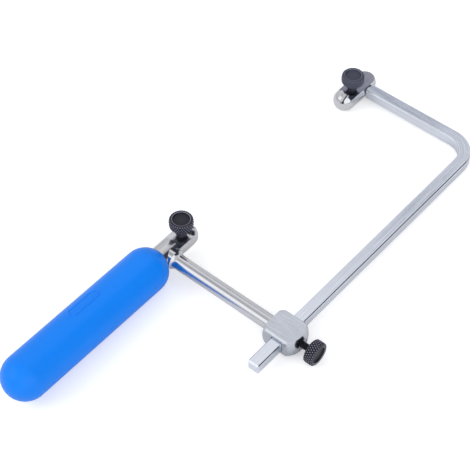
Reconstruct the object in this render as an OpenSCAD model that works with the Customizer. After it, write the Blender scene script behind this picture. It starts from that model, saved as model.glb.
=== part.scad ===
// Adjustable fret saw frame (jeweller's saw), without a blade.
// Origin: middle of the grip, on its axis. +Y runs along the blade line from the grip
// to the far clamp, +X across the throat to the back of the frame, +Z out of the frame's plane.

/* [Grip] */
// Diameter of the moulded grip
grip_d = 25.4; // [22:0.2:28]
// Overall length of the grip, over both round ends
grip_len = 113.5; // [100:0.5:125]

/* [Clamp posts] */
// Diameter of both clamp posts
post_d = 13.1; // [12.5:0.1:14.5]
// Height of the milled blade seat above the post's axis
seat_z = 3.4; // [3:0.1:3.8]
// Thickness of the round cap between the lower seat and the post's free end
lower_cap_t = 5.6; // [4.5:0.1:6]
// Thickness of the round cap between the upper seat and the post's near end
upper_cap_t = 6.5; // [4.5:0.1:6.8]
// Width of the saw cut that guides the blade through the cap
slit_w = 0.6; // [0.4:0.05:0.9]
// Distance of the saw cut from the screw's axis
slit_x = 2.5; // [2.4:0.05:3]
// Where the lower post's free end lies along the frame
lower_end_y = 83.4; // [82:0.2:90]
// Where the upper post's near end lies along the frame
upper_end_y = 209; // [200:0.5:240]
// Length of the upper post over both round ends
upper_len = 33; // [32:0.2:35]
// How much nearer to the bar the upper post lies than the lower one
upper_x = 1.6; // [0:0.1:2]

/* [Frame] */
// Diameter of the round arm between the lower post and the slider block
arm_d = 8.6; // [7.5:0.1:9]
// Place of the round arm along the frame
arm_y = 60.3; // [60:0.1:61]
// Distance from the blade line to the middle of the bent bar
bar_x = 82.8; // [80:0.2:110]
// Width of the bar in the frame's plane
bar_w = 7; // [6:0.1:7.4]
// Thickness of the bar out of the frame's plane
bar_t = 6.5; // [5.5:0.1:7]
// Distance from the upper post's near end to the middle of the bar's short leg
leg_dy = 21.7; // [19:0.1:23]
// Radius of the bend, to the middle of the bar
bend_r = 15; // [12:0.5:30]
// Length of the bar's tail below the slider block
tail_len = 18.8; // [10:0.2:30]

/* [Slider block] */
// Diameter of the ball that the block is cut from
ball_d = 23.7; // [22.8:0.1:24]
// Thickness of the block between its top and bottom flats
block_t = 11.6; // [11:0.1:12.5]
// Length of the block along the bar
block_len = 17.1; // [15:0.1:17.5]
// Bevel along the block's top and bottom edges
block_bevel = 0.9; // [0.3:0.1:1.2]

/* [Thumb screws] */
// Diameter of the knurled heads
head_d = 13.6; // [11:0.1:13.8]
// Thickness of the knurled heads
head_t = 5.5; // [4.5:0.1:6]
// Thread size of the screws
thread_d = 4; // [3.9:0.1:4.2]
// Thread advance per turn
thread_pitch = 0.7; // [0.5:0.05:0.8]
// Length of the clamp screws below the head
clamp_len = 14; // [13:0.5:15]
// Diameter of the clamp collars
collar_d = 7; // [6.6:0.1:8]
// Height of the lower collar, which lifts its head over the post's round cap
lower_collar_h = 5.5; // [5:0.1:5.8]
// Height of the upper collar
upper_collar_h = 3.9; // [3.4:0.1:4.2]
// Gap between the lower collar and its seat, as stored
lower_gap = 2.1; // [0.4:0.1:2.4]
// Gap between the upper collar and its seat, as stored
upper_gap = 2.1; // [0.4:0.1:2.4]
// Distance from the bar's back face to the lock screw's head
lock_reach = 11.8; // [11:0.1:13]

/* [Hidden] */

steel = [0.78, 0.79, 0.82];
nickel = [0.70, 0.73, 0.78];
black = [0.10, 0.10, 0.11];
brass = [0.78, 0.62, 0.30];
blue = [0.10, 0.50, 0.95];

eps = 0.01;
big = 60;
over = 1;            // how far a cut runs past a face, or a hidden joint into its neighbour
seg = 96;            // sides of a full circle
seg_fine = 48;       // sides of a small one
fit_gap = 0.05;      // radial clearance of a running fit
slide_gap = 0.12;    // clearance of the bar in the block, each side
rest_gap = 0.05;     // gap left where a screw's end is set against its stop

// Grip and tang
grip_r = grip_d / 2;
grip_half = grip_len / 2 - grip_r;
tang_r = 4;
tang_flat = 3.2;
tang_start = -12;
shoulder_y = 40;

// Posts
post_r = post_d / 2;
lower_dome_y = lower_end_y - post_r;
lower_step_y = lower_end_y - lower_cap_t;
lower_seat_y = 65.2;
lower_screw_in = 4.6;    // from the cap's inner face to the screw
upper_screw_in = 7;
lower_screw_y = lower_step_y - lower_screw_in;
upper_dome_y = upper_end_y + post_r;
upper_far_y = upper_end_y + upper_len - post_r;
upper_step_y = upper_end_y + upper_cap_t;
upper_screw_y = upper_step_y + upper_screw_in;
guide_hole_r = 0.65; // hole that the saw cut opens into
guide_below = 0.5;   // depth of that hole's middle below the seat

// Arm and block
arm_r = arm_d / 2;
arm_tenon_r = 3;
arm_root_r = 5.6;
arm_root_len = 3.4;
ball_inset = 1;      // how far the ball's middle lies inside the bar's
ball_x = bar_x - ball_inset;
ball_r = ball_d / 2;
face_in = 8.7;       // from the ball's middle to the flat that meets the arm
block_face_x = ball_x - face_in;
stud_wall = 1.2;     // wall left between the arm's tenon and the bar's slot
arm_stud_end = bar_x - bar_w / 2 - stud_wall;
spot_r = 3.4;
spot_depth = 0.7;
spot_x = ball_x + ball_r - spot_depth;

// Bar
bar_edge_r = 1;
bar_seam = 0.3;      // open seam between the bar's square end and the round post
bar_end_x = upper_x + post_r + bar_seam;
bar_tenon_r = 2.4;
bar_tenon_tip = upper_x + 3.6;
leg_y = upper_end_y + leg_dy;
tail_y = arm_y - block_len / 2 - tail_len;
tail_bevel = 0.8;

// Screws
shank_r = thread_d / 2 - fit_gap;
hole_r = thread_d / 2;
head_r = head_d / 2;
head_bevel = 0.7;
dish_r = 4.7;
dish_depth = 1;
dish_slope = 0.4;
rim_bevel = 0.5;
thread_depth = 0.613 * thread_pitch;    // of a metric thread
collar_bevel = 0.3;
lower_head_z = seat_z + lower_gap + lower_collar_h;
upper_head_z = seat_z + upper_gap + upper_collar_h;
lock_head_x = bar_x + bar_w / 2 + lock_reach;
pad_t = 1.6;
lock_len = lock_reach - pad_t - 2 * rest_gap;

// A round rod along +Y from y0 to y1
module rod_y(r, y0, y1) {
    translate([0, y0, 0]) rotate([-90, 0, 0]) cylinder(r = r, h = y1 - y0, $fn = seg);
}

// A round rod along +X from x0 to x1
module rod_x(r, x0, x1) {
    translate([x0, 0, 0]) rotate([0, 90, 0]) cylinder(r = r, h = x1 - x0, $fn = seg);
}

// A ball on a post's axis
module ball_at(r, y) {
    translate([0, y, 0]) sphere(r = r, $fn = seg);
}

// The tang's outline: round with two flats, which stop the grip turning
module tang(r, flat, y0, y1) {
    intersection() {
        rod_y(r, y0, y1);
        translate([-flat, y0 - over, -big / 2]) cube([2 * flat, y1 - y0 + 2 * over, big]);
    }
}

// Milled blade seat, from y0 to y1
module seat_cut(y0, y1) {
    translate([-big / 2, y0, seat_z]) cube([big, y1 - y0, big]);
}

// Saw cut through a round cap from y0 to y1, down to a guide hole level with the seat
module cap_cuts(y0, y1) {
    translate([slit_x, y0 - over, seat_z - guide_below]) {
        translate([-slit_w / 2, 0, 0]) cube([slit_w, y1 - y0 + 2 * over, big]);
        rotate([-90, 0, 0]) cylinder(r = guide_hole_r, h = y1 - y0 + 2 * over, $fn = seg_fine);
    }
}

// Tapped hole for a clamp screw
module clamp_hole(y) {
    translate([0, y, -big / 2]) cylinder(r = hole_r, h = big, $fn = seg);
}

// The grip's half outline: straight side, two round ends and the bore for the post
module grip_outline() {
    difference() {
        union() {
            translate([0, -grip_half]) square([grip_r, 2 * grip_half]);
            for (end = [-1, 1]) translate([0, end * grip_half]) circle(r = grip_r, $fn = seg);
        }
        translate([-grip_d, -grip_len]) square([grip_d, 2 * grip_len]);
        translate([-over, shoulder_y]) square([post_r + over, grip_len]);
    }
}

module handle_grip() {
    color(blue)
    difference() {
        rotate([-90, 0, 0]) rotate_extrude($fn = seg) grip_outline();
        tang(tang_r, tang_flat, tang_start, shoulder_y + eps);
    }
}

module lower_post() {
    color(steel)
    difference() {
        union() {
            tang(tang_r, tang_flat, tang_start, shoulder_y + over);
            rod_y(post_r, shoulder_y, lower_dome_y);
            ball_at(post_r, lower_dome_y);
        }
        seat_cut(lower_seat_y, lower_step_y);
        cap_cuts(lower_step_y, lower_end_y);
        clamp_hole(lower_screw_y);
        translate([0, arm_y, 0]) rod_x(arm_tenon_r, 0, post_d);
    }
}

// The arm's end hugs the post and flares into a brazed root
module arm_root() {
    rotate([0, 90, 0]) rotate_extrude($fn = seg)
        difference() {
            square([arm_root_r, post_r + arm_root_len]);
            translate([arm_r + arm_root_len, post_r + arm_root_len]) circle(r = arm_root_len, $fn = seg);
        }
}

module arm_rod() {
    color(steel)
    union() {
        difference() {
            translate([0, arm_y, 0]) {
                rod_x(arm_r, 0, block_face_x);
                arm_root();
            }
            rod_y(post_r, arm_y - big / 2, arm_y + big / 2);
        }
        translate([0, arm_y, 0]) rod_x(arm_tenon_r, 0, arm_stud_end);
    }
}

// One bevel along the block's edge; sy and sz pick the edge
module block_edge(sy, sz) {
    translate([ball_x, arm_y + sy * block_len / 2, sz * block_t / 2]) rotate([45, 0, 0])
        cube([big, block_bevel * sqrt(2), block_bevel * sqrt(2)], center = true);
}

module slider_block() {
    slot_w = bar_w + 2 * slide_gap;
    slot_t = bar_t + 2 * slide_gap;
    color(nickel)
    difference() {
        intersection() {
            translate([ball_x, arm_y, 0]) sphere(r = ball_r, $fn = seg);
            translate([block_face_x, arm_y - block_len / 2, -block_t / 2])
                cube([big, block_len, block_t]);
        }
        for (sy = [-1, 1], sz = [-1, 1]) block_edge(sy, sz);
        translate([bar_x - slot_w / 2, arm_y - big / 2, -slot_t / 2]) cube([slot_w, big, slot_t]);
        translate([0, arm_y, 0]) {
            rod_x(arm_tenon_r, block_face_x - over, arm_stud_end);
            rod_x(hole_r, bar_x, bar_x + big);
            rod_x(spot_r, spot_x, bar_x + big);
        }
    }
}

// The bar's section, with rounded edges
module bar_section() {
    cx = bar_w / 2 - bar_edge_r;
    cy = bar_t / 2 - bar_edge_r;
    square([bar_w - 2 * bar_edge_r, bar_t], center = true);
    square([bar_w, bar_t - 2 * bar_edge_r], center = true);
    for (sx = [-1, 1], sy = [-1, 1]) translate([sx * cx, sy * cy]) circle(r = bar_edge_r, $fn = seg_fine);
}

module frame_bar() {
    bend_x = bar_x - bend_r;
    bend_y = leg_y - bend_r;
    color(nickel)
    union() {
        difference() {
            translate([bar_x, bend_y, 0]) rotate([90, 0, 0])
                linear_extrude(height = bend_y - tail_y) bar_section();
            for (a = [0, 90, 180, 270])
                translate([bar_x, tail_y, 0]) rotate([0, a, 0])
                    translate([(a % 180 == 0 ? bar_w : bar_t) / 2, 0, 0]) rotate([0, 0, 45])
                        cube([tail_bevel * sqrt(2), tail_bevel * sqrt(2), big], center = true);
        }
        translate([bend_x, bend_y, 0]) rotate_extrude(angle = 90, $fn = seg)
            translate([bend_r, 0]) bar_section();
        translate([bend_x, leg_y, 0]) rotate([0, -90, 0]) rotate([0, 0, 90])
            linear_extrude(height = bend_x - bar_end_x) bar_section();
        translate([0, leg_y, 0]) rod_x(bar_tenon_r, bar_tenon_tip, bar_end_x + over);
    }
}

module upper_post() {
    color(steel)
    difference() {
        translate([upper_x, 0, 0]) difference() {
            union() {
                rod_y(post_r, upper_dome_y, upper_far_y);
                ball_at(post_r, upper_dome_y);
                ball_at(post_r, upper_far_y);
            }
            seat_cut(upper_step_y, upper_end_y + upper_len + over);
            cap_cuts(upper_end_y, upper_step_y);
            clamp_hole(upper_screw_y);
        }
        translate([0, leg_y, 0]) rod_x(bar_tenon_r, bar_tenon_tip, post_d);
    }
}

// Thumb screw standing on z = 0 with its shank below and a dished head above
module thumb_screw(len) {
    color(black)
    rotate_extrude($fn = seg)
        polygon([[0, -len], [shank_r - thread_depth, -len], [shank_r, thread_depth - len], [shank_r, 0],
                 [head_r - head_bevel, 0], [head_r, head_bevel], [head_r, head_t - head_bevel],
                 [head_r - head_bevel, head_t], [dish_r + rim_bevel, head_t],
                 [dish_r, head_t - rim_bevel], [dish_r - dish_slope, head_t - dish_depth],
                 [0, head_t - dish_depth]]);
}

// Loose collar that a clamp screw presses on the blade; h is its height with the gap above it
module clamp_collar(h) {
    out = collar_d / 2;
    top = h - rest_gap;
    color(black)
    rotate_extrude($fn = seg)
        polygon([[hole_r, 0], [out - collar_bevel, 0], [out, collar_bevel],
                 [out, top - collar_bevel], [out - collar_bevel, top], [hole_r, top]]);
}

module lower_clamp_screw() {
    translate([0, lower_screw_y, lower_head_z]) thumb_screw(clamp_len);
}

module lower_clamp_collar() {
    translate([0, lower_screw_y, seat_z + lower_gap]) clamp_collar(lower_collar_h);
}

module upper_clamp_screw() {
    translate([upper_x, upper_screw_y, upper_head_z]) thumb_screw(clamp_len);
}

module upper_clamp_collar() {
    translate([upper_x, upper_screw_y, seat_z + upper_gap]) clamp_collar(upper_collar_h);
}

module lock_screw() {
    translate([lock_head_x, arm_y, 0]) rotate([0, 90, 0]) thumb_screw(lock_len);
}

module lock_pad() {
    pad_x = bar_x + bar_w / 2 + rest_gap;
    color(brass) translate([0, arm_y, 0]) rod_x(shank_r, pad_x, pad_x + pad_t);
}

handle_grip();
lower_post();
arm_rod();
slider_block();
frame_bar();
upper_post();
lower_clamp_screw();
lower_clamp_collar();
upper_clamp_screw();
upper_clamp_collar();
lock_screw();
lock_pad();
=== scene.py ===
import math

import bpy
from mathutils import Matrix, Vector


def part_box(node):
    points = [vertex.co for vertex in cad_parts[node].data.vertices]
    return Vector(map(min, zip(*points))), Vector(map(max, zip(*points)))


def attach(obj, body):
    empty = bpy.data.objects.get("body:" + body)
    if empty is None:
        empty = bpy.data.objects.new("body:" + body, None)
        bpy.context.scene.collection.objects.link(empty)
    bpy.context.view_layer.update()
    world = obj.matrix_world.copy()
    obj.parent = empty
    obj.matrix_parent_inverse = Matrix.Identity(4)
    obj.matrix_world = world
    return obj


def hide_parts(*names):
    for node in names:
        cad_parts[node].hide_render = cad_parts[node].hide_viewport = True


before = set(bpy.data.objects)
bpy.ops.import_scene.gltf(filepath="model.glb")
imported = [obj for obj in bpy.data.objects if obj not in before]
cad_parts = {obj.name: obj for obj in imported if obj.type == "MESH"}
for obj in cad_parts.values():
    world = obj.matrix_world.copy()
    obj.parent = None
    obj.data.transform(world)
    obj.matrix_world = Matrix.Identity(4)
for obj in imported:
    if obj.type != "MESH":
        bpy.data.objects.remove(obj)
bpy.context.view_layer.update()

bl_info = {
    "name": "Fret Saw Frame Dressing",
    "version": (1, 0, 0),
    "blender": (4, 5, 0),
    "location": "View3D > Sidebar > Fret Saw",
    "description": "Materials, knurled screws and studio for the fret saw frame",
    "category": "Object",
}

MM = 0.001
TURN = 2 * math.pi


# ---------------------------------------------------------------- settings

class GripSettings(bpy.types.PropertyGroup):
    plastic_colour: bpy.props.FloatVectorProperty(
        name="Plastic colour", description="Colour of the moulded grip",
        default=(0.0, 0.215, 0.88), min=0, max=1, subtype="COLOR")
    oblong_length: bpy.props.FloatProperty(
        name="Oblong length", description="Length of the grip's bare oblong, over its rib",
        default=21 * MM, unit="LENGTH")
    oblong_width: bpy.props.FloatProperty(
        name="Oblong width", description="Width of the oblong, over its rib",
        default=6 * MM, unit="LENGTH")
    oblong_middle: bpy.props.FloatProperty(
        name="Oblong middle", description="Place of the oblong's middle along the grip",
        default=1.2 * MM, unit="LENGTH")
    oblong_turn: bpy.props.FloatProperty(
        name="Oblong turn", description="How far the oblong is turned round the grip",
        default=math.radians(-12.5), unit="ROTATION")
    rib_width: bpy.props.FloatProperty(
        name="Rib width", description="Width of the oblong's rib",
        default=0.9 * MM, unit="LENGTH")
    rib_height: bpy.props.FloatProperty(
        name="Rib height", description="How far the rib stands out of the grip",
        default=0.40 * MM, unit="LENGTH")


class MetalSettings(bpy.types.PropertyGroup):
    chrome_colour: bpy.props.FloatVectorProperty(
        name="Chrome colour", description="Colour of the posts and the arm",
        default=(0.67, 0.675, 0.70), min=0, max=1, subtype="COLOR")
    nickel_colour: bpy.props.FloatVectorProperty(
        name="Satin colour", description="Colour of the satin bar and block",
        default=(0.78, 0.82, 0.90), min=0, max=1, subtype="COLOR")
    oxide_colour: bpy.props.FloatVectorProperty(
        name="Oxide colour", description="Colour of the black thumb screws",
        default=(0.013, 0.013, 0.017), min=0, max=1, subtype="COLOR")
    # Paler, bluish copy of the black oxide: a painted reflection of bluish light on the
    # upper screw and the collars
    bluish_reflection_oxide_colour: bpy.props.FloatVectorProperty(
        name="Worn oxide colour", description="Colour of the upper screw and the collars",
        default=(0.052, 0.055, 0.078), min=0, max=1, subtype="COLOR")
    brass_colour: bpy.props.FloatVectorProperty(
        name="Brass colour", description="Colour of the lock pad",
        default=(0.70, 0.50, 0.22), min=0, max=1, subtype="COLOR")


class ScrewSettings(bpy.types.PropertyGroup):
    head_height: bpy.props.FloatProperty(
        name="Head height", description="Thickness of the knurled heads",
        default=5.5 * MM, unit="LENGTH")
    head_bevel: bpy.props.FloatProperty(
        name="Head bevel", description="Bevel on both edges of the knurled heads",
        default=0.7 * MM, unit="LENGTH")
    dish_radius: bpy.props.FloatProperty(
        name="Dish radius", description="Radius of the dished top",
        default=4.7 * MM, unit="LENGTH")
    dish_depth: bpy.props.FloatProperty(
        name="Dish depth", description="Depth of the dished top",
        default=1.0 * MM, unit="LENGTH")
    knurls_round: bpy.props.IntProperty(
        name="Knurls round", description="Number of diamonds round a head", default=30)
    knurl_rise: bpy.props.FloatProperty(
        name="Knurl rise", description="Height of one diamond along the head's axis",
        default=2.4 * MM, unit="LENGTH")
    knurl_depth: bpy.props.FloatProperty(
        name="Knurl depth", description="Depth of the knurling",
        default=0.45 * MM, unit="LENGTH")
    shank_radius: bpy.props.FloatProperty(
        name="Shank radius", description="Outer radius of the thread",
        default=1.95 * MM, unit="LENGTH")
    thread_pitch: bpy.props.FloatProperty(
        name="Thread pitch", description="Advance of the thread per turn",
        default=0.7 * MM, unit="LENGTH")
    thread_depth: bpy.props.FloatProperty(
        name="Thread depth", description="Depth of the thread",
        default=0.42 * MM, unit="LENGTH")


class StudioSettings(bpy.types.PropertyGroup):
    azimuth: bpy.props.FloatProperty(
        name="Camera azimuth", description="Camera's turn round the saw",
        default=math.radians(39.70), unit="ROTATION")
    elevation: bpy.props.FloatProperty(
        name="Camera elevation", description="Camera's height above the frame's plane",
        default=math.radians(49.48), unit="ROTATION")
    roll: bpy.props.FloatProperty(
        name="Camera roll", description="Camera's roll about its line of sight",
        default=math.radians(0.49), unit="ROTATION")
    distance: bpy.props.FloatProperty(
        name="Camera distance", description="Distance from the camera to its target",
        default=768 * MM, unit="LENGTH")
    lens: bpy.props.FloatProperty(
        name="Focal length", description="Focal length for a sensor 36 mm wide",
        default=109.12, unit="CAMERA")
    floor_colour: bpy.props.FloatVectorProperty(
        name="Floor colour", description="Colour of the plain floor",
        default=(0.80, 0.80, 0.80), min=0, max=1, subtype="COLOR")
    sky_strength: bpy.props.FloatProperty(
        name="Sky strength", description="Strength of the soft light from all round",
        default=0.80)
    key_power: bpy.props.FloatProperty(
        name="Key power", description="Power of the soft box to the camera's left",
        default=5.8, unit="POWER")


# ---------------------------------------------------------------- node tools

NUMBER, VECTOR = "NodeSocketFloat", "NodeSocketVector"


def feed(tree, value, socket):
    """Links value to the socket if value is a socket too, and otherwise sets it there."""
    if isinstance(value, bpy.types.NodeSocket):
        tree.links.new(value, socket)
    else:
        socket.default_value = value


def add_node(tree, kind, **values):
    """A node with its attributes set by name, and its inputs fed by socket name."""
    node = tree.nodes.new(kind)
    for key, value in values.items():
        if hasattr(node, key):
            setattr(node, key, value)
        else:
            feed(tree, value, node.inputs[key.replace("_", " ")])
    return node


def new_material(name):
    """A material with its Principled shader and output, and nothing else."""
    material = bpy.data.materials.new(name)
    material.use_nodes = True
    tree = material.node_tree
    tree.nodes.clear()
    output = tree.nodes.new("ShaderNodeOutputMaterial")
    shader = tree.nodes.new("ShaderNodeBsdfPrincipled")
    tree.links.new(shader.outputs["BSDF"], output.inputs["Surface"])
    return material, tree, shader


def new_group(name, inputs, outputs):
    """A shader node group with inputs (name, kind, default) and outputs (name, kind)."""
    group = bpy.data.node_groups.new(name, "ShaderNodeTree")
    for label, kind, default in inputs:
        socket = group.interface.new_socket(name=label, in_out="INPUT", socket_type=kind)
        socket.default_value = default
    for label, kind in outputs:
        group.interface.new_socket(name=label, in_out="OUTPUT", socket_type=kind)
    return group, group.nodes.new("NodeGroupInput"), group.nodes.new("NodeGroupOutput")


def place_group(tree, group, **values):
    """The mask of a group that is placed in a tree with its own input values."""
    return add_node(tree, "ShaderNodeGroup", node_tree=group, **values).outputs["Mask"]


def object_place(tree):
    """Object coordinates, in which marks stay on a piece when it moves."""
    return tree.nodes.new("ShaderNodeTexCoord").outputs["Object"]


def split(tree, vector):
    """The X, Y and Z outputs of a vector."""
    return add_node(tree, "ShaderNodeSeparateXYZ", Vector=vector).outputs


def maths(tree, operation, a, b=None, clamp=False):
    """The output of a Math node; a and b are numbers or sockets."""
    node = add_node(tree, "ShaderNodeMath", operation=operation, use_clamp=clamp)
    for value, socket in zip((a, b), node.inputs):
        if value is not None:
            feed(tree, value, socket)
    return node.outputs[0]


def ranged(tree, value, low, high):
    """value from 0..1 stretched to low..high."""
    node = add_node(tree, "ShaderNodeMapRange", Value=value, To_Min=low, To_Max=high)
    return node.outputs["Result"]


def blended(tree, value, a, b):
    """A colour that runs from a to b by value; a and b are colours or sockets."""
    node = add_node(tree, "ShaderNodeMix", data_type="RGBA", Factor=value, A=a, B=b)
    return node.outputs["Result"]


def scaled(colour, factor):
    """The colour made darker or lighter, with each part at most 1."""
    return [min(1, part * factor) for part in colour]


def toned(tree, shader, value, colour, tone):
    """Runs the shader's base colour over tone, a range of brightness, by value."""
    dark, light = ((*scaled(colour, factor), 1) for factor in tone)
    tree.links.new(blended(tree, value, dark, light), shader.inputs["Base Color"])


def roughened(tree, shader, value, rough):
    """Runs the shader's roughness over the range rough by value."""
    tree.links.new(ranged(tree, value, *rough), shader.inputs["Roughness"])


def bump(tree, shader, height, distance, strength):
    """Feeds height to the shader's normal through a Bump node."""
    node = add_node(tree, "ShaderNodeBump", Strength=strength, Distance=distance,
                    Height=height)
    tree.links.new(node.outputs["Normal"], shader.inputs["Normal"])


# ---------------------------------------------------------------- shared effects

def fine_marks_group():
    """Handling marks: faint cloudy smears and fine specks."""
    group, given, result = new_group(
        "fine_marks",
        [("Cloud Scale", NUMBER, 60.0), ("Speck Scale", NUMBER, 1500.0),
         ("Speck Share", NUMBER, 0.5)],
        [("Mask", NUMBER)])
    place = object_place(group)
    cloud = add_node(group, "ShaderNodeTexNoise", Vector=place,
                     Scale=given.outputs["Cloud Scale"], Detail=4.0, Roughness=0.55)
    speck = add_node(group, "ShaderNodeTexNoise", Vector=place,
                     Scale=given.outputs["Speck Scale"], Detail=2.0, Roughness=0.5)
    mix = add_node(group, "ShaderNodeMix", Factor=given.outputs["Speck Share"],
                   A=cloud.outputs[0], B=speck.outputs[0])
    group.links.new(mix.outputs["Result"], result.inputs["Mask"])
    return group


def fine_marks(tree, **values):
    """The mask of the shared handling marks, whose group is made on first use."""
    group = bpy.data.node_groups.get("fine_marks") or fine_marks_group()
    return place_group(tree, group, **values)


def drawn_lines_group():
    """Fine lines that follow the vector given, mixed with handling marks."""
    group, given, result = new_group(
        "drawn_lines",
        [("Lines", VECTOR, (0, 0, 0)), ("Marks Share", NUMBER, 0.4)],
        [("Mask", NUMBER)])
    lines = add_node(group, "ShaderNodeTexNoise", Vector=given.outputs["Lines"],
                     Scale=1.0, Detail=3.0, Roughness=0.6)
    marks = fine_marks(group, Cloud_Scale=70.0, Speck_Scale=1800.0)
    mix = add_node(group, "ShaderNodeMix", Factor=given.outputs["Marks Share"],
                   A=lines.outputs[0], B=marks)
    group.links.new(mix.outputs["Result"], result.inputs["Mask"])
    return group


def drawn_lines(tree, vector):
    """The mask of the shared drawn lines, whose group is made on first use."""
    group = bpy.data.node_groups.get("drawn_lines") or drawn_lines_group()
    return place_group(tree, group, Lines=vector)


# Scale of the noise that draws the lines, per metre: across them and along them
LINES_ACROSS, LINES_ALONG = 1900.0, 24.0
BAR_LINES_ACROSS, BAR_LINES_ALONG = 1500.0, 28.0
BLOCK_LINES_ACROSS, BLOCK_LINES_ALONG = 1300.0, 110.0
BLOCK_LINES_TURN = math.radians(20)

# Half the bar's width in the frame's plane, and the radius of its bend to its middle line
BAR_HALF = 3.5 * MM
BAR_BEND = 15 * MM


def straight_lines(scale, turn=0.0):
    """Lines along the axis whose scale is the smallest, turned about Z."""
    def lines(tree):
        mapping = add_node(tree, "ShaderNodeMapping", Vector=object_place(tree),
                           Scale=scale, Rotation=(0, 0, turn))
        return mapping.outputs[0]
    return lines


def bar_lines(tree):
    """Lines along the bar, also round its bend."""
    low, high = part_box("frame_bar")
    middle_x = high.x - BAR_HALF - BAR_BEND
    middle_y = high.y - BAR_HALF - BAR_BEND
    x, y, z = split(tree, object_place(tree))
    from_x = maths(tree, "MAXIMUM", maths(tree, "SUBTRACT", x, middle_x), 0.0)
    from_y = maths(tree, "MAXIMUM", maths(tree, "SUBTRACT", y, middle_y), 0.0)
    square = maths(tree, "ADD", maths(tree, "MULTIPLY", from_x, from_x),
                   maths(tree, "MULTIPLY", from_y, from_y))
    across = maths(tree, "MULTIPLY", maths(tree, "SQRT", square), BAR_LINES_ACROSS)
    along = maths(tree, "MULTIPLY", maths(tree, "SUBTRACT", x, y), BAR_LINES_ALONG)
    joined = add_node(tree, "ShaderNodeCombineXYZ", X=across, Y=along,
                      Z=maths(tree, "MULTIPLY", z, BAR_LINES_ACROSS))
    return joined.outputs[0]


# ---------------------------------------------------------------- materials

def metal_finish(tone, rough, relief):
    """Ranges of brightness and roughness over a metal's lines, and the lines' depth."""
    return {"tone": tone, "rough": rough, "relief": relief}


UPPER_POST_FINISH = metal_finish((0.92, 1.06), (0.06, 0.14), 0.005 * MM)
LOWER_POST_FINISH = metal_finish((0.74, 1.14), (0.13, 0.24), 0.016 * MM)
ARM_FINISH = metal_finish((0.92, 1.06), (0.12, 0.21), 0.006 * MM)
BAR_FINISH = metal_finish((0.82, 1.08), (0.13, 0.26), 0.02 * MM)
BLOCK_FINISH = metal_finish((0.74, 1.12), (0.12, 0.24), 0.018 * MM)
BLOCK_SHADE = 0.80

# Noise keeps near its middle, so its range is stretched over this one
LINES_STRETCH = (-0.7, 1.7)
LINES_STRENGTH = 0.5

PLASTIC_TONE = (0.93, 1.06)
PLASTIC_ROUGH = (0.30, 0.42)
PLASTIC_SPECULAR = 0.28
PLASTIC_RELIEF, PLASTIC_STRENGTH = 0.03 * MM, 0.6

OXIDE_PATCHES = (0.5, 1.3)
OXIDE_METALLIC = (0.55, 0.98)
OXIDE_ROUGH = (0.26, 0.42)
OXIDE_SPECULAR = 0.3
OXIDE_RELIEF, OXIDE_STRENGTH = 0.01 * MM, 0.4
# How many times paler than its colour the oxide gets where wear pales it, and where pale
# paint stands for glints: painted highlights on the knurl's tips and the dish's edge; the
# bluish copy's smaller value keeps its painted glints fainter
BLACK_RUB_AND_GLINT, BLUISH_OXIDE_RUB_AND_GLINT = 55.0, 9.0

BRASS_TONE = (0.8, 1.0)
BRASS_ROUGH = (0.2, 0.4)

# The heat tint's colour, where it begins along the post and where it is full
HEAT_TINT = (0.72, 0.42, 0.32)
HEAT_FROM, HEAT_TO = 58 * MM, 48 * MM
HEAT_PATCHES = (-1.0, 2.2)


def plastic_material():
    """Satin moulded plastic with handling marks."""
    colour = bpy.context.scene.saw_grip.plastic_colour
    material, tree, shader = new_material("satin_blue_plastic")
    marks = fine_marks(tree, Cloud_Scale=45.0, Speck_Scale=900.0, Speck_Share=0.55)
    toned(tree, shader, marks, colour, PLASTIC_TONE)
    roughened(tree, shader, marks, PLASTIC_ROUGH)
    shader.inputs["Specular IOR Level"].default_value = PLASTIC_SPECULAR
    bump(tree, shader, marks, PLASTIC_RELIEF, PLASTIC_STRENGTH)
    return material


def plated_material(name, lines, colour, tone, rough, relief):
    """Plated steel; lines(tree) gives the vector that its drawn lines follow."""
    material, tree, shader = new_material(name)
    value = ranged(tree, drawn_lines(tree, lines(tree)), *LINES_STRETCH)
    shader.inputs["Metallic"].default_value = 1.0
    toned(tree, shader, value, colour, tone)
    roughened(tree, shader, value, rough)
    bump(tree, shader, value, relief, LINES_STRENGTH)
    return material


def add_heat_tint(material):
    """The warm tint that brazing leaves on a post, patchy and strongest beside the grip."""
    tree = material.node_tree
    shader = next(node for node in tree.nodes if node.type == "BSDF_PRINCIPLED")
    base = shader.inputs["Base Color"]
    plain = base.links[0].from_socket
    near = add_node(tree, "ShaderNodeMapRange", Value=split(tree, object_place(tree))["Y"],
                    From_Min=HEAT_FROM, From_Max=HEAT_TO)
    patches = ranged(tree, fine_marks(tree, Cloud_Scale=260.0, Speck_Share=0.1),
                     *HEAT_PATCHES)
    share = maths(tree, "MULTIPLY", near.outputs["Result"], patches, clamp=True)
    tree.links.new(blended(tree, share, plain, (*HEAT_TINT, 1)), base)


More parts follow.
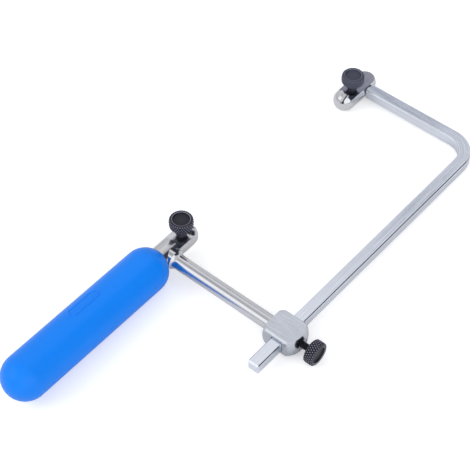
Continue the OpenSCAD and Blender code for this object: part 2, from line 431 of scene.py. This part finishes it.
def oxide_material(name, colour, rub_and_glint):
    """Black oxide, paler on the crests of the knurl and the thread: partly wear, partly
    painted highlights that stand for glints on the knurl's tips and the dish's edge.
    """
    material, tree, shader = new_material(name)
    marks = fine_marks(tree, Cloud_Scale=120.0, Speck_Scale=2200.0, Speck_Share=0.6)
    crest = add_node(tree, "ShaderNodeAttribute", attribute_name="crest")
    # Pale where the crest value is high: wear, and painted glints on the knurl's tips and
    # the dish's edge
    rubbed_and_glint = maths(tree, "MULTIPLY", crest.outputs["Fac"],
                   ranged(tree, marks, *OXIDE_PATCHES), clamp=True)
    toned(tree, shader, rubbed_and_glint, colour, (1.0, rub_and_glint))
    shader.inputs["Specular IOR Level"].default_value = OXIDE_SPECULAR
    tree.links.new(ranged(tree, rubbed_and_glint, *OXIDE_METALLIC), shader.inputs["Metallic"])
    roughened(tree, shader, marks, OXIDE_ROUGH)
    bump(tree, shader, marks, OXIDE_RELIEF, OXIDE_STRENGTH)
    return material


def brass_material():
    """Plain turned brass."""
    colour = bpy.context.scene.saw_metal.brass_colour
    material, tree, shader = new_material("turned_brass")
    marks = fine_marks(tree, Cloud_Scale=150.0, Speck_Scale=2500.0)
    shader.inputs["Metallic"].default_value = 1.0
    toned(tree, shader, marks, colour, BRASS_TONE)
    roughened(tree, shader, marks, BRASS_ROUGH)
    return material


def dress(node, material):
    """Gives a CAD node's slots the material."""
    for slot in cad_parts[node].material_slots:
        slot.material = material


# ---------------------------------------------------------------- mesh tools

SHARP_ANGLE = math.radians(35)


def add_object(name, data):
    """A new object in the scene."""
    thing = bpy.data.objects.new(name, data)
    bpy.context.scene.collection.objects.link(thing)
    return thing


def add_piece(name, points, faces, material):
    """A mesh piece, smooth but for its sharp edges."""
    mesh = bpy.data.meshes.new(name)
    mesh.from_pydata(points, [], faces)
    mesh.update()
    mesh.polygons.foreach_set("use_smooth", [True] * len(mesh.polygons))
    mesh.set_sharp_from_angle(angle=SHARP_ANGLE)
    mesh.materials.append(material)
    return add_object(name, mesh)


class Lathe:
    """Rings of points round the Z axis, joined from one to the next into a closed skin.
    Each point has a crest value, which says how much paler its colour is painted, for wear
    and for painted glints."""

    def __init__(self):
        self.points = []
        self.crest = []
        self.faces = []
        self.last = None

    def centre(self, z, crest=0.0):
        """A single point on the axis, which closes the skin."""
        self.points.append((0, 0, z))
        self.crest.append(crest)
        self._join([len(self.points) - 1])

    def ring(self, count, radius, z, crest=0.0):
        """radius and crest are numbers, or functions of the turn from 0 to 1."""
        start = len(self.points)
        for i in range(count):
            turn = i / count
            r = radius(turn) if callable(radius) else radius
            self.points.append((r * math.cos(TURN * turn), r * math.sin(TURN * turn), z))
            self.crest.append(crest(turn) if callable(crest) else crest)
        self._join(list(range(start, start + count)))

    def _join(self, ring):
        """Joins the last ring to this one; one count divides the other."""
        last, self.last = self.last, ring
        if last is None:
            return
        up = len(ring) >= len(last)
        fine, coarse = (ring, last) if up else (last, ring)
        per = len(fine) // len(coarse)
        for i in range(len(coarse)):
            a, b = coarse[i], coarse[(i + 1) % len(coarse)]
            edge = [fine[(i * per + k) % len(fine)] for k in range(per + 1)]
            if len(coarse) == 1:
                new = [(a, edge[k + 1], edge[k]) for k in range(per)]
            elif per == 1:
                new = [(a, b, edge[1], edge[0])]
            else:
                half = per // 2
                new = [(a, edge[k + 1], edge[k]) for k in range(half)]
                new.append((a, b, edge[half]))
                new += [(b, edge[k + 1], edge[k]) for k in range(half, per)]
            self.faces += new if up else [tuple(reversed(face)) for face in new]


# ---------------------------------------------------------------- thumb screws

# Points round one diamond, rows of points up a head and in one turn of thread, and how many
# times more points there are round a head than round a shank
KNURL_STEPS = 8
KNURL_ROWS = 34
THREAD_STEPS = 8
HEAD_TO_SHANK = 4

# Shares of a diamond's height: where it is cut off blunt, and from where it is painted
# paler, for wear and as a painted glint on its tip
KNURL_BLUNT = 0.88
KNURL_RUB_AND_GLINT_FROM = 0.62
# How much of the knurl is gone at the outer edge of a head's bevels
KNURL_FADE = 0.6
# Share of each half pitch that is flat in the thread's root, and on its crest too
THREAD_FLAT = 0.12
# Length of the thread's run-out under the head, in turns
THREAD_RUN_OUT = 1.5
TIP_CHAMFER = 0.1 * MM
PLAIN_NECK = 0.2 * MM
HEAD_ROUNDING = 0.18 * MM
# How much wear pales the thread's crest and the head's flat rims
THREAD_RUB, RIM_RUB = 0.08, 0.05


def ridge(value):
    """0 on whole numbers and 1 halfway between them."""
    return 1 - abs(2 * (value % 1) - 1)


def knurl_height(turn, z, screws):
    """Height of a diamond knurl, 0 in its grooves and 1 on its blunt tips."""
    a = turn * screws.knurls_round
    b = (z - screws.head_height / 2) / screws.knurl_rise
    return min(1, min(ridge(a + b), ridge(a - b)) / KNURL_BLUNT)


def thread_height(turn, z, pitch):
    """Height of a right-hand thread, 0 in its root and 1 on its crest."""
    flank = ridge(z / pitch - turn) - THREAD_FLAT
    return min(1, max(0, flank / (1 - 2 * THREAD_FLAT)))


def turn_shank(lathe, steps, length, screws):
    """The threaded shank, from its tip up to the head's underside at 0."""
    depth, pitch = screws.thread_depth, screws.thread_pitch
    root = screws.shank_radius - depth
    lathe.centre(-length)
    lathe.ring(steps, root - TIP_CHAMFER, -length)
    step = pitch / THREAD_STEPS
    rows = int((length - PLAIN_NECK) / step)
    for row in range(1, rows):
        z = -length + row * step
        grow = min(1, row / THREAD_STEPS, (rows - row) / (THREAD_RUN_OUT * THREAD_STEPS))

        def radius(turn, z=z, grow=grow):
            return root + depth * grow * thread_height(turn, z, pitch)

        def rub_and_glint(turn, z=z, grow=grow):
            return THREAD_RUB * grow * thread_height(turn, z, pitch)

        lathe.ring(steps, radius, z, rub_and_glint)
    lathe.ring(steps, root, 0)


def turn_head(lathe, steps, head_radius, screws):
    """The knurled head, from its underside at 0 up to the middle of its dish."""
    top, bevel, rim = screws.head_height, screws.head_bevel, HEAD_ROUNDING
    lathe.ring(steps, head_radius - bevel - rim, 0, RIM_RUB)
    for row in range(KNURL_ROWS + 1):
        z = rim + (top - 2 * rim) * row / KNURL_ROWS
        inset = max(0, bevel - z, z - (top - bevel))
        fade = 1 - KNURL_FADE * inset / bevel

        def radius(turn, z=z, inset=inset, fade=fade):
            cut = screws.knurl_depth * fade * (1 - knurl_height(turn, z, screws))
            return head_radius - inset - cut

        # Paler towards each diamond's tip: wear, and a painted glint that stands for its
        # highlight
        def rub_and_glint(turn, z=z, fade=fade):
            over = max(0, knurl_height(turn, z, screws) - KNURL_RUB_AND_GLINT_FROM)
            return fade * over / (1 - KNURL_RUB_AND_GLINT_FROM)

        lathe.ring(steps, radius, z, rub_and_glint)
    dish, bottom = screws.dish_radius, top - screws.dish_depth
    # Profile of the top: flat rim, edge painted pale as a painted highlight, rounded wall
    # and flat dish
    for radius, z, rub_and_glint in ((head_radius - bevel - rim, top, RIM_RUB),
                           (dish + 2.6 * rim, top, 0.04),
                           (dish + 2 * rim, top, 0.6),
                           (dish + rim, top - rim / 2, 0.4),
                           (dish + rim / 2, top - rim, 0.0),
                           (dish - rim, bottom + rim, 0.0),
                           (dish - 2.5 * rim, bottom, 0.02)):
        lathe.ring(steps, radius, z, rub_and_glint)
    lathe.ring(steps // HEAD_TO_SHANK, dish / 2, bottom, 0.03)
    lathe.centre(bottom, 0.04)


def build_screw(name, node, axis_x, body, material):
    """A thumb screw in the place of its CAD node, which stands along X or along Z."""
    screws = bpy.context.scene.saw_screws
    low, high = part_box(node)
    seat = (low + high) / 2
    if axis_x:
        length, head_radius = high.x - low.x - screws.head_height, (high.y - low.y) / 2
        seat.x = high.x - screws.head_height
        matrix = Matrix.Translation(seat) @ Matrix.Rotation(math.pi / 2, 4, "Y")
    else:
        length, head_radius = high.z - low.z - screws.head_height, (high.x - low.x) / 2
        seat.z = high.z - screws.head_height
        matrix = Matrix.Translation(seat)
    head_steps = screws.knurls_round * KNURL_STEPS
    lathe = Lathe()
    turn_shank(lathe, head_steps // HEAD_TO_SHANK, length, screws)
    turn_head(lathe, head_steps, head_radius, screws)
    piece = add_piece(name, lathe.points, lathe.faces, material)
    layer = piece.data.attributes.new("crest", "FLOAT", "POINT")
    layer.data.foreach_set("value", lathe.crest)
    piece.matrix_world = matrix
    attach(piece, body)
    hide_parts(node)


# ---------------------------------------------------------------- oblong rib

# Steps along each round end and each straight side of the oblong, and over the rib
OBLONG_END_STEPS, OBLONG_SIDE_STEPS, RIB_STEPS = 28, 24, 10
# How far the rib's open side is sunk in the grip
RIB_SUNK = 0.08 * MM


def oblong_path(bend, straight):
    """Points (across, along, and outward in both) round an oblong with round ends."""
    path = []
    for end in (1, -1):
        for i in range(OBLONG_END_STEPS):
            angle = math.pi * i / OBLONG_END_STEPS
            path.append((bend * math.cos(angle) * end,
                         (straight + bend * math.sin(angle)) * end,
                         math.cos(angle) * end, math.sin(angle) * end))
        for i in range(OBLONG_SIDE_STEPS):
            along = straight * (1 - 2 * i / OBLONG_SIDE_STEPS) * end
            path.append((-bend * end, along, -end, 0))
    return path


def build_oblong(material):
    """The bare oblong rib that is moulded on the grip's upper side."""
    grip = bpy.context.scene.saw_grip
    low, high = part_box("handle_grip")
    radius = (high.z - low.z) / 2
    path = oblong_path((grip.oblong_width - grip.rib_width) / 2,
                       (grip.oblong_length - grip.oblong_width) / 2)
    points, faces = [], []
    ring = RIB_STEPS + 1
    for across, along, out_x, out_y in path:
        for k in range(ring):
            angle = math.pi * k / RIB_STEPS
            offset = grip.rib_width / 2 * math.cos(angle)
            height = (grip.rib_height + RIB_SUNK) * math.sin(angle) - RIB_SUNK
            turn = grip.oblong_turn + (across + out_x * offset) / radius
            reach = radius + height
            points.append((reach * math.sin(turn),
                           grip.oblong_middle + along + out_y * offset,
                           reach * math.cos(turn)))
    for i in range(len(path)):
        here, there = i * ring, (i + 1) % len(path) * ring
        for k in range(ring):
            after = (k + 1) % ring
            faces.append((here + k, here + after, there + after, there + k))
    piece = add_piece("grip_oblong_rib", points, faces, material)
    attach(piece, "handle_side")


# ---------------------------------------------------------------- studio

FLOOR_SIZE = 6.0
FLOOR_DROP = 0.05 * MM
FLOOR_ROUGH = 0.9
FLOOR_GLOW = 0.42
# Share of the floor's glow that metal reflects
GLOSS_GLOW = 0.1
# Where the saw rests on the floor: grip, lock screw and the bar's corner
REST_POINTS = ((0.5 * MM, 44.1 * MM, -12.7 * MM),
               (102.9 * MM, 60.3 * MM, -6.8 * MM),
               (83.2 * MM, 223.9 * MM, -3.3 * MM))

# Soft boxes and dark flags that the metal reflects, as seen from the saw: azimuth from +Y
# towards +X, elevation, half width and half height in degrees, and colour
CARDS = (
    ("right_window", 118, 24, 34, 28, (1.60, 1.60, 1.62)),
    ("left_window", -149, 36, 16, 16, (1.60, 1.60, 1.62)),
    ("back_light", -24, 56, 20, 13, (1.20, 1.20, 1.22)),
    ("right_flag", 50, 29, 25, 25, (0.06, 0.07, 0.11)),
    ("back_flag", -33, 45.5, 4, 3.2, (0.20, 0.22, 0.32)),
    ("top_gap", -108, 63, 22, 2.4, (0.40, 0.40, 0.43)),
)
CARD_SOFTNESS = 0.03
# The plain sky's brightness at heights from the horizon, 0, to overhead, 1
SKY_STOPS = ((0.0, 0.80), (0.35, 0.95), (0.70, 1.00), (1.0, 0.90))
SKY_TINT = (0.985, 0.99, 1.02)

# The lamps' places and sizes in metres, and the fill's power as a share of the key's
LAMP_TARGET = (0.03, 0.09, 0.0)
KEY_PLACE, KEY_SIZE = (-0.75, -0.85, 0.85), (1.0, 0.8)
FILL_PLACE, FILL_SIZE = (1.15, 0.25, 0.75), (1.2, 0.8)
FILL_SHARE = 0.85

CAMERA_TARGET = (20.4 * MM, 93.8 * MM, 0.0)
CAMERA_CLIP = (0.01, 50.0)
SENSOR = 36.0
# Half a pixel of the photograph, as a share of its width
HALF_PIXEL = 0.5 / 470


def seen_directly(tree, in_gloss):
    """1 for camera and transmission rays, in_gloss for glossy rays, and 0 for the rest."""
    path = tree.nodes.new("ShaderNodeLightPath")
    some = maths(tree, "MULTIPLY", path.outputs["Is Glossy Ray"], in_gloss)
    some = maths(tree, "ADD", some, path.outputs["Is Camera Ray"])
    return maths(tree, "ADD", some, path.outputs["Is Transmission Ray"], clamp=True)


def build_floor():
    """A large floor in the plane that the saw rests on."""
    colour = bpy.context.scene.saw_studio.floor_colour
    half = FLOOR_SIZE / 2
    grip, lock, corner = (Vector(point) for point in REST_POINTS)
    normal = (lock - grip).cross(corner - grip).normalized()
    points = []
    for x, y in ((-half, -half), (half, -half), (half, half), (-half, half)):
        fall = (normal.x * (x - grip.x) + normal.y * (y - grip.y)) / normal.z
        points.append((x, y, grip.z - fall - FLOOR_DROP))
    material, tree, shader = new_material("pale_floor")
    shader.inputs["Base Color"].default_value = (*colour, 1)
    shader.inputs["Roughness"].default_value = FLOOR_ROUGH
    shader.inputs["Specular IOR Level"].default_value = 0.0
    shader.inputs["Emission Color"].default_value = (1, 1, 1, 1)
    tree.links.new(maths(tree, "MULTIPLY", seen_directly(tree, GLOSS_GLOW), FLOOR_GLOW),
                   shader.inputs["Emission Strength"])
    add_piece("studio_floor", points, [(0, 1, 2, 3)], material)


def card_group():
    """How much of a direction a card covers: 1 inside it, 0 outside, soft between."""
    group, given, result = new_group(
        "studio_card",
        [("Direction", VECTOR, (0, 0, 1)), ("Middle", VECTOR, (0, 0, 1)),
         ("Across", VECTOR, (1, 0, 0)), ("Up", VECTOR, (0, 1, 0)),
         ("Half Width", NUMBER, 0.2), ("Half Height", NUMBER, 0.2),
         ("Softness", NUMBER, 0.1)],
        [("Mask", NUMBER)])

    def along(axis):
        dot = add_node(group, "ShaderNodeVectorMath", operation="DOT_PRODUCT")
        group.links.new(given.outputs["Direction"], dot.inputs[0])
        group.links.new(given.outputs[axis], dot.inputs[1])
        return dot.outputs["Value"]

    ahead = along("Middle")
    mask = maths(group, "GREATER_THAN", ahead, 0.0)
    for axis, half in (("Across", "Half Width"), ("Up", "Half Height")):
        offset = maths(group, "ABSOLUTE", maths(group, "DIVIDE", along(axis), ahead))
        left = maths(group, "SUBTRACT", given.outputs[half], offset)
        inside = maths(group, "DIVIDE", left, given.outputs["Softness"])
        mask = maths(group, "MULTIPLY", mask, maths(group, "ADD", inside, 0.5, clamp=True))
    group.links.new(mask, result.inputs["Mask"])
    return group


def place_card(tree, group, direction, *degrees):
    """The mask of one card of the studio, from its azimuth, elevation, half width and half
    height in degrees."""
    az, el, half_width, half_height = (math.radians(angle) for angle in degrees)
    middle = Vector((math.sin(az) * math.cos(el), math.cos(az) * math.cos(el),
                     math.sin(el)))
    across = Vector((math.cos(az), -math.sin(az), 0))
    return place_group(tree, group, Direction=direction, Middle=middle, Across=across,
                       Up=across.cross(middle), Half_Width=math.tan(half_width),
                       Half_Height=math.tan(half_height), Softness=CARD_SOFTNESS)


def build_sky():
    """White where it is seen directly; in metal and as light, pale with the cards."""
    world = bpy.data.worlds.new("studio_sky")
    bpy.context.scene.world = world
    world.use_nodes = True
    tree = world.node_tree
    tree.nodes.clear()
    direction = tree.nodes.new("ShaderNodeTexCoord").outputs["Generated"]
    ramp = add_node(tree, "ShaderNodeValToRGB", Fac=split(tree, direction)["Z"])
    stops = ramp.color_ramp.elements
    while len(stops) < len(SKY_STOPS):
        stops.new(0.5)
    for stop, (position, level) in zip(stops, SKY_STOPS):
        stop.position = position
        stop.color = (*[level * part for part in SKY_TINT], 1)
    colour = ramp.outputs["Color"]
    group = card_group()
    for name, *place, card_colour in CARDS:
        card = place_card(tree, group, direction, *place)
        colour = blended(tree, card, colour, (*card_colour, 1))
        colour.node.label = name
    reflected = add_node(tree, "ShaderNodeBackground", Color=colour,
                         Strength=bpy.context.scene.saw_studio.sky_strength)
    white = add_node(tree, "ShaderNodeBackground", Color=(1, 1, 1, 1))
    mix = add_node(tree, "ShaderNodeMixShader", Fac=seen_directly(tree, 0.0))
    tree.links.new(reflected.outputs[0], mix.inputs[1])
    tree.links.new(white.outputs[0], mix.inputs[2])
    add_node(tree, "ShaderNodeOutputWorld", Surface=mix.outputs[0])


def add_lamp(name, place, size, power):
    """A soft box that lights the saw and isn't seen in its metal."""
    lamp = bpy.data.lights.new(name, "AREA")
    lamp.shape = "RECTANGLE"
    lamp.size, lamp.size_y = size
    lamp.energy = power
    holder = add_object(name, lamp)
    holder.location = place
    ahead = Vector(LAMP_TARGET) - Vector(place)
    holder.rotation_euler = ahead.to_track_quat("-Z", "Y").to_euler()
    holder.visible_glossy = False


def build_lamps():
    """A soft box to the camera's left, and a fill to its right."""
    power = bpy.context.scene.saw_studio.key_power
    add_lamp("key_soft_box", KEY_PLACE, KEY_SIZE, power)
    add_lamp("fill_soft_box", FILL_PLACE, FILL_SIZE, power * FILL_SHARE)


def build_camera():
    """The camera at the photograph's angle."""
    studio = bpy.context.scene.saw_studio
    az, el, roll = studio.azimuth, studio.elevation, studio.roll
    look = Vector((-math.sin(az) * math.cos(el), math.cos(az) * math.cos(el),
                   -math.sin(el)))
    level = Vector((math.cos(az), math.sin(az), 0))
    up = level.cross(look)
    right = level * math.cos(roll) + up * math.sin(roll)
    top = up * math.cos(roll) - level * math.sin(roll)
    camera = bpy.data.cameras.new("studio_camera")
    camera.sensor_width = SENSOR
    camera.lens = studio.lens
    camera.shift_x, camera.shift_y = -HALF_PIXEL, HALF_PIXEL
    camera.clip_start, camera.clip_end = CAMERA_CLIP
    holder = add_object("studio_camera", camera)
    place = Matrix.Translation(Vector(CAMERA_TARGET) - look * studio.distance)
    holder.matrix_world = place @ Matrix((right, top, -look)).transposed().to_4x4()
    bpy.context.scene.camera = holder


# ---------------------------------------------------------------- operators

class SAW_OT_studio(bpy.types.Operator):
    """Set up the pale floor, the soft light and the camera"""
    bl_idname = "saw.studio"
    bl_label = "Studio"

    def execute(self, context):
        build_floor()
        build_sky()
        build_lamps()
        build_camera()
        context.scene.view_settings.view_transform = "Standard"
        return {"FINISHED"}


class SAW_OT_grip(bpy.types.Operator):
    """Dress the grip and mould the bare oblong rib on it"""
    bl_idname = "saw.grip"
    bl_label = "Grip"

    def execute(self, context):
        material = plastic_material()
        dress("handle_grip", material)
        build_oblong(material)
        return {"FINISHED"}


class SAW_OT_posts(bpy.types.Operator):
    """Give the clamp posts and the arm their chrome"""
    bl_idname = "saw.posts"
    bl_label = "Posts and arm"

    def execute(self, context):
        colour = context.scene.saw_metal.chrome_colour
        along_y = straight_lines((LINES_ACROSS, LINES_ALONG, LINES_ACROSS))
        along_x = straight_lines((LINES_ALONG, LINES_ACROSS, LINES_ACROSS))
        dress("upper_post", plated_material("polished_chrome_post", along_y, colour,
                                            **UPPER_POST_FINISH))
        ground = plated_material("ground_chrome_post", along_y, colour, **LOWER_POST_FINISH)
        add_heat_tint(ground)
        dress("lower_post", ground)
        dress("arm_rod", plated_material("polished_chrome_arm", along_x, colour,
                                         **ARM_FINISH))
        return {"FINISHED"}


class SAW_OT_bar(bpy.types.Operator):
    """Give the bent bar and the slider block their satin plate"""
    bl_idname = "saw.bar"
    bl_label = "Bar and block"

    def execute(self, context):
        colour = context.scene.saw_metal.nickel_colour
        dress("frame_bar", plated_material("satin_drawn_bar", bar_lines, colour,
                                           **BAR_FINISH))
        milled = straight_lines((BLOCK_LINES_ALONG, BLOCK_LINES_ACROSS, BLOCK_LINES_ACROSS),
                                BLOCK_LINES_TURN)
        dress("slider_block", plated_material("satin_milled_block", milled,
                                              scaled(colour, BLOCK_SHADE), **BLOCK_FINISH))
        return {"FINISHED"}


class SAW_OT_screws(bpy.types.Operator):
    """Build the three knurled thumb screws, and dress their collars and pad"""
    bl_idname = "saw.screws"
    bl_label = "Thumb screws"

    def execute(self, context):
        metal = context.scene.saw_metal
        black = oxide_material("black_oxide", metal.oxide_colour, BLACK_RUB_AND_GLINT)
        # The upper screw and the collars get a paler, bluish copy of the black oxide, a
        # painted reflection of bluish light
        bluish_oxide = oxide_material("bluish_reflection_black_oxide", metal.bluish_reflection_oxide_colour, BLUISH_OXIDE_RUB_AND_GLINT)
        build_screw("lower_thumb_screw", "lower_clamp_screw", False, "lower_screw", black)
        build_screw("upper_thumb_screw", "upper_clamp_screw", False, "upper_screw", bluish_oxide)
        build_screw("lock_thumb_screw", "lock_screw", True, "lock", black)
        for node in ("lower_clamp_collar", "upper_clamp_collar"):
            dress(node, bluish_oxide)
        dress("lock_pad", brass_material())
        return {"FINISHED"}


class SAW_PT_panel(bpy.types.Panel):
    """Fret saw settings and the steps that dress it"""
    bl_idname = "SAW_PT_panel"
    bl_label = "Fret saw"
    bl_space_type = "VIEW_3D"
    bl_region_type = "UI"
    bl_category = "Fret Saw"

    def draw(self, context):
        layout = self.layout
        scene = context.scene
        for operator in OPERATORS:
            layout.operator(operator.bl_idname)
        for title, group in (("Grip", scene.saw_grip), ("Metals", scene.saw_metal),
                             ("Screws", scene.saw_screws), ("Studio", scene.saw_studio)):
            box = layout.box()
            box.label(text=title)
            for name in group.__annotations__:
                box.prop(group, name)


SETTINGS = (
    ("saw_grip", GripSettings),
    ("saw_metal", MetalSettings),
    ("saw_screws", ScrewSettings),
    ("saw_studio", StudioSettings),
)
OPERATORS = (SAW_OT_studio, SAW_OT_grip, SAW_OT_posts, SAW_OT_bar, SAW_OT_screws)


def register():
    for name, group in SETTINGS:
        bpy.utils.register_class(group)
        setattr(bpy.types.Scene, name, bpy.props.PointerProperty(type=group))
    for operator in OPERATORS:
        bpy.utils.register_class(operator)
    bpy.utils.register_class(SAW_PT_panel)


def unregister():
    bpy.utils.unregister_class(SAW_PT_panel)
    for operator in reversed(OPERATORS):
        bpy.utils.unregister_class(operator)
    for name, group in reversed(SETTINGS):
        delattr(bpy.types.Scene, name)
        bpy.utils.unregister_class(group)


def main():
    register()
    bpy.ops.saw.studio()
    bpy.ops.saw.grip()
    bpy.ops.saw.posts()
    bpy.ops.saw.bar()
    bpy.ops.saw.screws()


if __name__ == "__main__":
    main()
